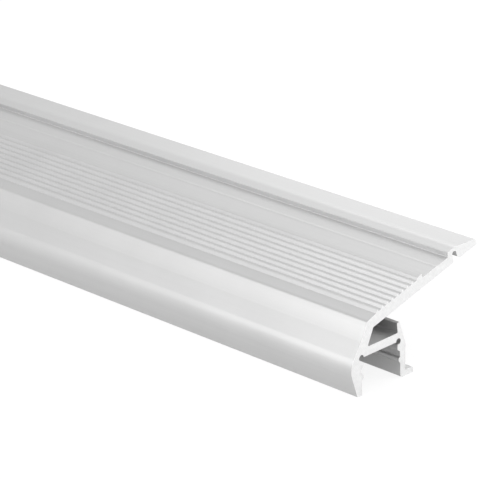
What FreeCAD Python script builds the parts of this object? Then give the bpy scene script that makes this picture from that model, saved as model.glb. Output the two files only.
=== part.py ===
import FreeCAD, Part
import math
import os

# Aluminium stair nosing with a light channel, one extruded piece of stock.
# Sizes are in millimetres and degrees. The section lies in the YZ plane and runs along X.
# It stands as it does on a level floor: on the bottom of its front lip and on its foot.
# The tread plate is drawn level, from the corner where the apron leaves its underside,
# and then turned up by plate_angle about that corner.

length = 1000.0

# Tread plate
plate_angle = 15.0
plate_corner_y = 9.0
plate_corner_z = 18.35
plate_reach = 42.4
plate_start = 0.4
band_front = -1.9
band_thickness = 2.83
band_slope = 5.0
band_edge_radius = 1.1

# Anti-slip ridges on the plate, each with a sloping front, a narrow crest and a steep rear
ridge_top = 3.9
ridge_valley = 3.22
ridge_crest = 0.17
ridge_radius = 0.1
ridge_rear_draft = 0.06
first_ridge_front = 1.65
first_ridge_width = 1.05
ridge_front = 3.96
ridge_pitch = 2.03
ridge_width = 0.85
ridge_count = 7

# Wide ridge beside the recess, which rises a little towards its rear edge
last_ridge_front = 18.17
last_ridge_slope = 0.75
last_ridge_rear = 20.45
last_ridge_rise = 0.08

# Recess between the ridges and the flange, with a low bead along it
recess_floor = 2.75
recess_rear_floor = 2.65
bead_top = 2.8
bead_start = 25.5
bead_crest = 26.1
bead_end = 26.7
bead_radius = 0.5
recess_end = 31.05
recess_end_draft = 0.25

# Rear flange, with a slot open downward under it
flange_top = 4.1
flange_flat = 3.4
flange_crown_radius = 4.5
flange_rear_thickness = 1.6
flange_rear_radius = 0.5
slot_setback = 1.7
slot_width = 1.65
slot_skin = 1.05
slot_rear_flare = 0.9
slot_front_flare = 0.4
slot_roundness = 0.45

# Apron and lip at the front
apron_lean = 34.0
apron_bend_height = 17.6
apron_bend_radius = 24.0
apron_inner_lean = 26.0
apron_inner_start = 0.3
apron_inner_radius = 0.5
nose_corner_height = 8.9
nose_radius = 6.4
lip_lean = 17.0
lip_bottom_y = 2.05
lip_bottom_width = 1.75

# Light channel under the web
web_bottom = 10.9
web_thickness = 2.5
channel_width = 14.95
wall_thickness = 1.9
relief_radius = 0.88
relief_offset = 0.1
relief_setback = 0.5

# Teeth that hold a cover, two on each side of the channel
upper_tooth_height = 1.5
upper_tooth_reach = 0.9
upper_tooth_drop = 0.95
upper_tooth_ramp = 0.9
lower_tooth_height = 0.9
lower_tooth_reach = 0.5
lower_tooth_front_reach = 0.7
lower_tooth_drop = 5.0
tooth_flank = 0.7
tooth_flank_slope = 0.21
tooth_valley = 1.5
tooth_root = 0.4

# Upright behind the wire chamber, square to the plate, and the foot
upright_start = 7.5
upright_thickness = 1.5
upright_top_thickness = 1.05
upright_drop = 4.3
wall_bend_drop = 1.8
wall_bend_run = 2.0
wall_bend_reach = 0.3
wall_lower_reach = 0.12
wall_bend_radius = 1.5
wall_bottom_radius = 0.9
foot_reach = 3.1
foot_thickness = 1.7
foot_radius = 0.5

# Small radii: sharp and soft outer edges, and inner corners
edge_radius = 0.2
soft_edge_radius = 0.3
inner_radius = 0.4

# Lengths by which pieces run into each other before they are joined, and cuts run past a face
overlap = 0.2
root = 1.0
cut_past = 1.0


def vector(y, z):
    return FreeCAD.Vector(0, y, z)


def direction(start, end):
    line = end - start
    return line * (1.0 / line.Length)


def area(corners):
    """Flat face whose corners are rows of y, z and the radius that rounds the corner."""
    points = [vector(y, z) for y, z, radius in corners]
    edges = []
    first = None
    last = None
    for index, (y, z, radius) in enumerate(corners):
        here = points[index]
        enter = here
        leave = here
        if radius > 0:
            back = direction(here, points[index - 1])
            ahead = direction(here, points[(index + 1) % len(points)])
            half = back.getAngle(ahead) / 2
            enter = here + back * (radius / math.tan(half))
            leave = here + ahead * (radius / math.tan(half))
            inward = direction(vector(0, 0), back + ahead)
            middle = here + inward * (radius / math.sin(half) - radius)
        if last is None:
            first = enter
        else:
            edges.append(Part.makeLine(last, enter))
        if radius > 0:
            edges.append(Part.Arc(enter, middle, leave).toShape())
        last = leave
    edges.append(Part.makeLine(last, first))
    return Part.Face(Part.Wire(edges))


def disc(y, z, radius):
    circle = Part.makeCircle(radius, vector(y, z), FreeCAD.Vector(1, 0, 0))
    return Part.Face(Part.Wire([circle]))


def run(degrees):
    """Sideways run of a line for each millimetre of its rise."""
    return math.tan(math.radians(degrees))


def on_plate(y, z, radius=0):
    """Corner of the standing section from a corner given in the level plate."""
    angle = math.radians(plate_angle)
    turned_y = plate_corner_y + y * math.cos(angle) - z * math.sin(angle)
    turned_z = plate_corner_z + y * math.sin(angle) + z * math.cos(angle)
    return (turned_y, turned_z, radius)


def band_height(y):
    return band_thickness + (y - band_front) * run(band_slope)


def ridge(front, width, foot):
    """Corners of one ridge, from its front foot to its rear foot."""
    rear = front + width
    return [
        (front, foot, ridge_radius),
        (rear - ridge_crest, ridge_top, ridge_radius),
        (rear, ridge_top, ridge_radius),
        (rear + ridge_rear_draft, ridge_valley, ridge_radius)]


def last_ridge():
    return [
        (last_ridge_front, ridge_valley, ridge_radius),
        (last_ridge_front + last_ridge_slope, ridge_top, soft_edge_radius),
        (last_ridge_rear, ridge_top + last_ridge_rise, edge_radius),
        (last_ridge_rear + ridge_rear_draft, recess_floor, edge_radius)]


def recess():
    """Corners of the low bead, and of the recess's rear edge."""
    return [
        (bead_start, recess_floor, bead_radius),
        (bead_crest, bead_top, bead_radius),
        (bead_end, recess_rear_floor, bead_radius),
        (recess_end, recess_rear_floor, edge_radius)]


def flange():
    return [
        (recess_end + recess_end_draft, flange_top, edge_radius),
        (recess_end + flange_flat, flange_top, flange_crown_radius),
        (plate_reach, flange_rear_thickness, flange_rear_radius),
        (plate_reach, 0, edge_radius)]


def plate():
    corners = [(plate_start, 0, 0), (plate_start, band_height(plate_start), 0)]
    corners += ridge(first_ridge_front, first_ridge_width, band_height(first_ridge_front))
    for count in range(ridge_count):
        corners += ridge(ridge_front + ridge_pitch * count, ridge_width, ridge_valley)
    corners += last_ridge() + recess() + flange()
    return area([on_plate(y, z, radius) for y, z, radius in corners])


def rear_slot():
    """Round-topped groove under the flange, with both edges of its mouth cut back."""
    start = recess_end + slot_setback
    end = start + slot_width
    roof = flange_top - slot_skin
    roof_radius = slot_width * slot_roundness
    corners = [
        (start - slot_front_flare, -cut_past, 0),
        (start - slot_front_flare, 0, 0),
        (start, slot_front_flare, soft_edge_radius),
        (start, roof, roof_radius),
        (end, roof, roof_radius),
        (end, slot_rear_flare, soft_edge_radius),
        (end + slot_rear_flare, 0, 0),
        (end + slot_rear_flare, -cut_past, 0)]
    return area([on_plate(y, z, radius) for y, z, radius in corners])


def channel_front():
    return lip_bottom_y + lip_bottom_width


def channel_rear():
    return channel_front() + channel_width


def web_top():
    return web_bottom + web_thickness


def apron_inner_y(height):
    start_y, start_z, _ = on_plate(-apron_inner_start, 0)
    return start_y - (start_z - height) * run(apron_inner_lean)


def front_teeth():
    """Corners of the two teeth on the lip, from the web down, with a rounded valley between."""
    inner = channel_front()
    upper = web_bottom - upper_tooth_drop
    upper_end = upper - upper_tooth_height
    lower = web_bottom - lower_tooth_drop
    lower_end = lower - lower_tooth_height
    return [
        (inner - tooth_root, web_bottom, 0),
        (inner - tooth_root, upper, 0),
        (inner + upper_tooth_reach, upper - upper_tooth_ramp, edge_radius),
        (inner + upper_tooth_reach, upper_end, edge_radius),
        (inner - tooth_root, upper_end - tooth_valley, inner_radius),
        (inner + lower_tooth_front_reach, lower, edge_radius),
        (inner + lower_tooth_front_reach, lower_end, edge_radius),
        (inner, lower_end - tooth_flank, soft_edge_radius)]


def nose():
    """Apron, lip, the front of the web and the front edge of the plate."""
    nose_y = lip_bottom_y - nose_corner_height * run(lip_lean)
    bend_y = nose_y + (apron_bend_height - nose_corner_height) * run(apron_lean)
    plate_edge = plate_start + overlap
    web_y = apron_inner_y(web_top())
    corners = [
        (channel_front(), 0, soft_edge_radius),
        (lip_bottom_y, 0, soft_edge_radius),
        (nose_y, nose_corner_height, nose_radius),
        (bend_y, apron_bend_height, apron_bend_radius),
        on_plate(band_front, band_thickness, band_edge_radius),
        on_plate(plate_edge, band_height(plate_edge)),
        on_plate(plate_edge, 0),
        on_plate(-apron_inner_start, 0, apron_inner_radius),
        (web_y, web_top(), inner_radius),
        (web_y + root, web_top(), 0),
        (web_y + root, web_bottom, 0)]
    return area(corners + front_teeth())


def web():
    front = apron_inner_y(web_top()) + root - overlap
    return area([
        (front, web_bottom, 0),
        (channel_rear(), web_bottom, 0),
        (channel_rear(), web_top(), 0),
        (front, web_top(), 0)])


def back_wall():
    """Upright square to the plate, over the channel wall square to the web."""
    inner = channel_rear()
    outer = inner + wall_thickness
    rear = upright_start + upright_thickness
    front_top = on_plate(rear - upright_top_thickness, -upright_drop, edge_radius)
    rear_top = on_plate(rear, -upright_drop, edge_radius)
    depth = (plate_corner_z - web_top()) / math.cos(math.radians(plate_angle))
    foot_y, foot_z, _ = on_plate(upright_start, -depth - upright_start * run(plate_angle))
    bend_height = web_bottom - wall_bend_drop
    bend_y = rear_top[0] + (rear_top[1] - bend_height) * run(plate_angle)
    return area([
        (inner, 0, wall_bottom_radius),
        (inner, web_bottom, 0),
        (foot_y - root, web_bottom, 0),
        (foot_y - root, foot_z, 0),
        (foot_y, foot_z, inner_radius),
        front_top,
        rear_top,
        (bend_y + wall_bend_reach, bend_height, wall_bend_radius),
        (outer + wall_lower_reach, bend_height - wall_bend_run, wall_bend_radius),
        (outer, foot_thickness, inner_radius),
        (outer + root, foot_thickness, 0),
        (outer + root, 0, 0)])


def foot():
    start = channel_rear() + wall_thickness
    end = start + foot_reach
    return area([
        (start, 0, 0),
        (end, 0, soft_edge_radius),
        (end, foot_thickness, foot_radius),
        (start + root - overlap, foot_thickness, 0)])


def wall_tooth(drop, height, reach):
    """Tooth on the back wall, with sloping flanks that run on into the wall."""
    top = web_bottom - drop
    inner = channel_rear()
    rooted = inner + tooth_root
    slope = tooth_flank_slope / reach
    return area([
        (rooted, top + slope, 0),
        (inner - reach, top, edge_radius),
        (inner - reach, top - height, edge_radius),
        (rooted, top - height - tooth_flank - slope, 0)])


def relief_grooves():
    """Round grooves that end the flat bed at the front and at the rear."""
    front = disc(channel_front() + relief_offset, web_bottom, relief_radius)
    rear = disc(channel_rear() - relief_setback, web_bottom, relief_radius)
    return [front, rear]


def section():
    pieces = [nose(), web(), back_wall(), foot()]
    pieces.append(wall_tooth(upper_tooth_drop, upper_tooth_height, upper_tooth_reach))
    pieces.append(wall_tooth(lower_tooth_drop, lower_tooth_height, lower_tooth_reach))
    shape = plate().multiFuse(pieces).removeSplitter()
    shape = shape.cut([rear_slot()] + relief_grooves()).removeSplitter()
    return shape.Faces[0]


def stair_profile():
    """The section extruded, centred over its footprint and standing on the floor."""
    body = section().extrude(FreeCAD.Vector(length, 0, 0))
    box = body.BoundBox
    body.translate(FreeCAD.Vector(-length / 2, -box.Center.y, -box.ZMin))
    return body


os.makedirs("parts", exist_ok=True)
solid = stair_profile()
solid.exportStep("parts/stair_profile.step")
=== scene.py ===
import bpy
import math
from mathutils import Matrix, Vector

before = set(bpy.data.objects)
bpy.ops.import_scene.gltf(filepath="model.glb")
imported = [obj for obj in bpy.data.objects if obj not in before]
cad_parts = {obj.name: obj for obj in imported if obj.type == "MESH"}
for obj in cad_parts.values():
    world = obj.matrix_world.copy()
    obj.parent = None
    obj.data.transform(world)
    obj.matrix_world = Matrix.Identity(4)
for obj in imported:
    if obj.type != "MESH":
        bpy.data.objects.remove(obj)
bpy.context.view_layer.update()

# Camera, in metres and degrees: where it stands, and the way that it looks
camera_place = Vector((0.97320, -0.50435, 0.31971))
camera_turn = 47.005
camera_tilt = 67.96
camera_roll = -2.468
camera_lens = 210.0
camera_sensor = 36.0
camera_near = 0.01
camera_far = 50.0

# Soft boxes round a point near the end that is in view: name, compass angle from +X, height
# angle, both in degrees, and power in watts
lamp_aim = Vector((0.40, 0.00, 0.02))
lamp_distance = 0.90
lamp_size = 0.50
lamps = [
    ("rear_right", 45, 45, 1.88),
    ("rear", 120, 30, 0.50),
    ("rear_left", 135, 45, 0.34),
    ("front_left", 250, 20, 1.45),
    ("front", 270, 15, 0.95),
    ("front_right", 315, 15, 0.70),
    ("near_end", 345, 25, 0.80),
]

# Sky, for light and reflections: its level at the horizon and straight above
horizon_level = 0.80
zenith_level = 0.81
plain_white = (1.0, 1.0, 1.0, 1.0)

# Floor: its size and colour, how much of it is plain white for the camera and in reflections, and
# how bright that white is
floor_radius = 4.0
floor_corners = 96
floor_colour = (0.9, 0.9, 0.9, 1.0)
white_for_camera = 0.80
white_in_reflections = 0.40
camera_level = 1.07
mirrored_level = 0.81

# Skin: satin anodised aluminium, in linear colour. What is not metal in it is plain diffuse.
skin_colour = (0.600, 0.600, 0.600)
skin_roughness = 0.39
metal_share = 0.80

# Edges rubbed bare, in a lighter colour that also stands as a painted highlight along the sharp
# edges: how strong the patches are, how big they are, and how far an edge has to turn from the
# face beside it, as 1 less the cosine, before wear starts and where it is full
worn_and_highlight_colour = (0.880, 0.880, 0.880, 1.0)
worn_roughness = 0.30
wear_least = 0.35
wear_most = 1.0
wear_patch = 0.0025
wear_detail = 3.0
wear_start = 0.01
wear_full = 0.20

# Rounding of sharp edges in the shading
edge_softness = 0.00014
edge_samples = 6

# How far the skin's tone goes from 1, its roughness from the roughness above, and its relief
band_tone = 0.012
haze_tone = 0.015
line_roughness = 0.03
haze_roughness = 0.02
line_relief = 0.10
relief_height = 0.00001

# Lines that the die leaves along the skin, in metres across and along, and the clouds over them
die_line = (0.00022, 0.060)
die_band = (0.0016, 0.250)
cloud_size = 0.018
line_detail = 2.0
band_detail = 3.0
cloud_detail = 4.0

# Sawn ends: bare metal, with the arcs that a circular blade leaves. A face is an end where its
# normal lies at least this much along the length.
end_facing = 0.9
end_colour = (0.895, 0.895, 0.895)
end_roughness = 0.52
saw_radius = 0.150
saw_pitch = 0.0006
saw_waver = 1.5
arc_detail = 2.0
arc_detail_scale = 0.6
grit_size = 0.0009
grit_detail = 4.0
grit_tone = 0.04
arc_tone = 0.02
grit_roughness = 0.05
end_relief = 0.30

# Noise: most of its values lie between these two, and its finer layers have this roughness
noise_low = 0.3
noise_high = 0.7
streak_roughness = 0.60
cloud_roughness = 0.55

# Rings of a wave texture in one unit of length, at a scale of 1
rings_in_unit = 20.0 / math.tau


def add_node(tree, kind, inputs=None, **settings):
    """New shader node, with its settings and the values of its sockets."""
    node = tree.nodes.new(kind)
    for name, value in settings.items():
        setattr(node, name, value)
    for name, value in (inputs or {}).items():
        socket = node.inputs[name]
        if isinstance(value, bpy.types.NodeSocket):
            tree.links.new(value, socket)
        else:
            socket.default_value = value
    return node


def new_material(name):
    """Material with an empty node tree."""
    material = bpy.data.materials.new(name)
    material.use_nodes = True
    material.node_tree.nodes.clear()
    return material


def math_node(tree, operation, first, second=0.0):
    """Result of one sum on two values."""
    return add_node(tree, "ShaderNodeMath", {0: first, 1: second}, operation=operation).outputs[0]


def streaks(tree, place, size, detail):
    """Noise drawn out along the length, in lines of the given width and length."""
    across, along = size
    scale = (1.0 / along, 1.0 / across, 1.0 / across)
    stretched = add_node(tree, "ShaderNodeMapping", {"Vector": place, "Scale": scale})
    noise = add_node(tree, "ShaderNodeTexNoise", {
        "Vector": stretched.outputs["Vector"],
        "Scale": 1.0,
        "Detail": detail,
        "Roughness": streak_roughness})
    return noise.outputs["Fac"]


def clouds(tree, place, size, detail):
    """Noise in even clouds of the given size."""
    noise = add_node(tree, "ShaderNodeTexNoise", {
        "Vector": place,
        "Scale": 1.0 / size,
        "Detail": detail,
        "Roughness": cloud_roughness})
    return noise.outputs["Fac"]


def ranged(tree, value, low, high, start=noise_low, end=noise_high):
    """Value taken from between start and end to between low and high."""
    inputs = {"Value": value, "From Min": start, "From Max": end, "To Min": low, "To Max": high}
    return add_node(tree, "ShaderNodeMapRange", inputs).outputs["Result"]


def about(tree, value, middle, spread, start=noise_low, end=noise_high):
    """Value taken to between one spread below the middle and one above."""
    return ranged(tree, value, middle - spread, middle + spread, start, end)


def shaded(tree, colour, level):
    """Colour made lighter or darker by a level about 1."""
    node = add_node(tree, "ShaderNodeVectorMath", {0: colour, "Scale": level}, operation="SCALE")
    return node.outputs["Vector"]


def rounded_normal(tree):
    """Surface normal with the sharp edges rounded off."""
    bevel = add_node(tree, "ShaderNodeBevel", {"Radius": edge_softness}, samples=edge_samples)
    return bevel.outputs["Normal"]


def edge_wear_and_highlight(tree, place, rounded):
    """Broken patches along the sharp edges, where the rounded normal leaves the surface's own:
    real wear and a painted highlight on the edges.
    """
    surface = add_node(tree, "ShaderNodeNewGeometry").outputs["Normal"]
    both = {0: rounded, 1: surface}
    alike = add_node(tree, "ShaderNodeVectorMath", both, operation="DOT_PRODUCT")
    turned = math_node(tree, "SUBTRACT", 1.0, alike.outputs["Value"])
    edge = ranged(tree, turned, 0.0, 1.0, wear_start, wear_full)
    patches = ranged(tree, clouds(tree, place, wear_patch, wear_detail), wear_least, wear_most)
    return math_node(tree, "MULTIPLY", edge, patches)


def metal(tree, colour, roughness, height, strength, rounded):
    """Bare or anodised metal, with a fine relief of the given height and strength."""
    bump = add_node(tree, "ShaderNodeBump", {
        "Height": height,
        "Strength": strength,
        "Distance": relief_height,
        "Normal": rounded})
    shader = add_node(tree, "ShaderNodeBsdfPrincipled", {
        "Base Color": colour,
        "Metallic": metal_share,
        "Roughness": roughness,
        "Normal": bump.outputs["Normal"]})
    return shader.outputs["BSDF"]


def skin(tree, place, rounded):
    """Satin anodised skin: die lines, faint bands and clouds, and edges rubbed bare and lightened
    as a painted highlight.
    """
    lines = streaks(tree, place, die_line, line_detail)
    bands = streaks(tree, place, die_band, band_detail)
    haze = clouds(tree, place, cloud_size, cloud_detail)
    wear_and_highlight = edge_wear_and_highlight(tree, place, rounded)
    band_shade = about(tree, bands, 1.0, band_tone)
    haze_shade = about(tree, haze, 1.0, haze_tone)
    tone = math_node(tree, "MULTIPLY", band_shade, haze_shade)
    # The edges take the lighter colour: bare metal rubbed through, and a painted highlight along
    # them.
    colour = add_node(tree, "ShaderNodeMixRGB", {
        "Fac": wear_and_highlight,
        "Color1": shaded(tree, skin_colour, tone),
        "Color2": worn_and_highlight_colour})
    satin = about(tree, lines, skin_roughness, line_roughness)
    satin = math_node(tree, "ADD", satin, about(tree, haze, 0.0, haze_roughness))
    blend = add_node(tree, "ShaderNodeMix", {"Factor": wear_and_highlight, "A": satin, "B": worn_roughness})
    roughness = blend.outputs["Result"]
    return metal(tree, colour.outputs["Color"], roughness, lines, line_relief, rounded)


def sawn_end(tree, place, rounded):
    """Bare end, crossed by the arcs of the saw."""
    from_centre = add_node(tree, "ShaderNodeMapping", {
        "Vector": place,
        "Location": (0.0, saw_radius, -saw_radius)})
    rings = add_node(tree, "ShaderNodeTexWave", {
        "Vector": from_centre.outputs["Vector"],
        "Scale": 1.0 / (rings_in_unit * saw_pitch),
        "Distortion": saw_waver,
        "Detail": arc_detail,
        "Detail Scale": arc_detail_scale}, wave_type="RINGS", rings_direction="X")
    arcs = rings.outputs["Fac"]
    grit = clouds(tree, place, grit_size, grit_detail)
    grit_shade = about(tree, grit, 1.0, grit_tone)
    arc_shade = about(tree, arcs, 1.0, arc_tone, 0.0, 1.0)
    tone = math_node(tree, "MULTIPLY", grit_shade, arc_shade)
    rough = about(tree, grit, end_roughness, grit_roughness)
    height = math_node(tree, "ADD", arcs, grit)
    return metal(tree, shaded(tree, end_colour, tone), rough, height, end_relief, rounded)


def aluminium():
    """Satin skin along the length, and sawn faces at the two ends."""
    material = new_material("anodised_aluminium_satin")
    tree = material.node_tree
    coordinates = add_node(tree, "ShaderNodeTexCoord")
    place = coordinates.outputs["Object"]
    rounded = rounded_normal(tree)
    facing = add_node(tree, "ShaderNodeSeparateXYZ", {"Vector": coordinates.outputs["Normal"]})
    along = math_node(tree, "ABSOLUTE", facing.outputs["X"])
    is_end = math_node(tree, "GREATER_THAN", along, end_facing)
    mixed = add_node(tree, "ShaderNodeMixShader", {
        "Fac": is_end,
        1: skin(tree, place, rounded),
        2: sawn_end(tree, place, rounded)})
    add_node(tree, "ShaderNodeOutputMaterial", {"Surface": mixed.outputs["Shader"]})
    return material


def floor_material():
    """White for the camera and in reflections, and still darker where the profile shades it."""
    material = new_material("floor_white")
    tree = material.node_tree
    path = add_node(tree, "ShaderNodeLightPath")
    seen = path.outputs["Is Camera Ray"]
    glossy = path.outputs["Is Glossy Ray"]
    mirrored = math_node(tree, "MAXIMUM", glossy, path.outputs["Is Transmission Ray"])
    for_camera = math_node(tree, "MULTIPLY", seen, white_for_camera)
    for_mirror = math_node(tree, "MULTIPLY", mirrored, white_in_reflections)
    share = math_node(tree, "MAXIMUM", for_camera, for_mirror)
    lit = add_node(tree, "ShaderNodeBsdfDiffuse", {"Color": floor_colour})
    strength = add_node(tree, "ShaderNodeMix", {
        "Factor": seen,
        "A": mirrored_level,
        "B": camera_level})
    white = add_node(tree, "ShaderNodeEmission", {
        "Color": plain_white,
        "Strength": strength.outputs["Result"]})
    mixed = add_node(tree, "ShaderNodeMixShader", {
        "Fac": share,
        1: lit.outputs["BSDF"],
        2: white.outputs["Emission"]})
    add_node(tree, "ShaderNodeOutputMaterial", {"Surface": mixed.outputs["Shader"]})
    return material


def floor():
    """Level floor under the profile."""
    bpy.ops.mesh.primitive_circle_add(
        vertices=floor_corners,
        radius=floor_radius,
        fill_type="NGON")
    plane = bpy.context.object
    plane.name = "floor"
    plane.data.materials.append(floor_material())


def sky():
    """White for the camera, and its own level for light and reflections."""
    world = bpy.data.worlds.new("studio")
    bpy.context.scene.world = world
    world.use_nodes = True
    tree = world.node_tree
    tree.nodes.clear()
    coordinates = add_node(tree, "ShaderNodeTexCoord")
    parts = add_node(tree, "ShaderNodeSeparateXYZ", {"Vector": coordinates.outputs["Generated"]})
    height = math_node(tree, "MAXIMUM", parts.outputs["Z"], 0.0)
    level = add_node(tree, "ShaderNodeMapRange", {
        "Value": height,
        "To Min": horizon_level,
        "To Max": zenith_level})
    path = add_node(tree, "ShaderNodeLightPath")
    strength = add_node(tree, "ShaderNodeMix", {
        "Factor": path.outputs["Is Camera Ray"],
        "A": level.outputs["Result"],
        "B": 1.0})
    background = add_node(tree, "ShaderNodeBackground", {
        "Color": plain_white,
        "Strength": strength.outputs["Result"]})
    add_node(tree, "ShaderNodeOutputWorld", {"Surface": background.outputs["Background"]})


def lamp(name, compass, rise, power):
    """Square soft box that faces the point it is aimed at."""
    light = bpy.data.lights.new(name, "AREA")
    light.shape = "SQUARE"
    light.size = lamp_size
    light.energy = power
    thing = bpy.data.objects.new(name, light)
    turn = Matrix.Rotation(math.radians(compass), 3, "Z")
    lift = Matrix.Rotation(math.radians(-rise), 3, "Y")
    away = turn @ lift @ Vector((1.0, 0.0, 0.0))
    thing.location = lamp_aim + away * lamp_distance
    thing.rotation_euler = away.to_track_quat("Z", "Y").to_euler()
    bpy.context.scene.collection.objects.link(thing)


def camera():
    """Camera that shows the profile as the photograph does."""
    data = bpy.data.cameras.new("camera")
    data.lens = camera_lens
    data.sensor_width = camera_sensor
    data.clip_start = camera_near
    data.clip_end = camera_far
    thing = bpy.data.objects.new("camera", data)
    turn = Matrix.Rotation(math.radians(camera_turn), 4, "Z")
    tilt = Matrix.Rotation(math.radians(camera_tilt), 4, "X")
    roll = Matrix.Rotation(math.radians(camera_roll), 4, "Z")
    thing.matrix_world = Matrix.Translation(camera_place) @ turn @ tilt @ roll
    bpy.context.scene.collection.objects.link(thing)
    bpy.context.scene.camera = thing


camera()
floor()
sky()
for row in lamps:
    lamp(*row)
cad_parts["stair_profile"].material_slots[0].material = aluminium()
bpy.context.scene.view_settings.view_transform = "Standard"
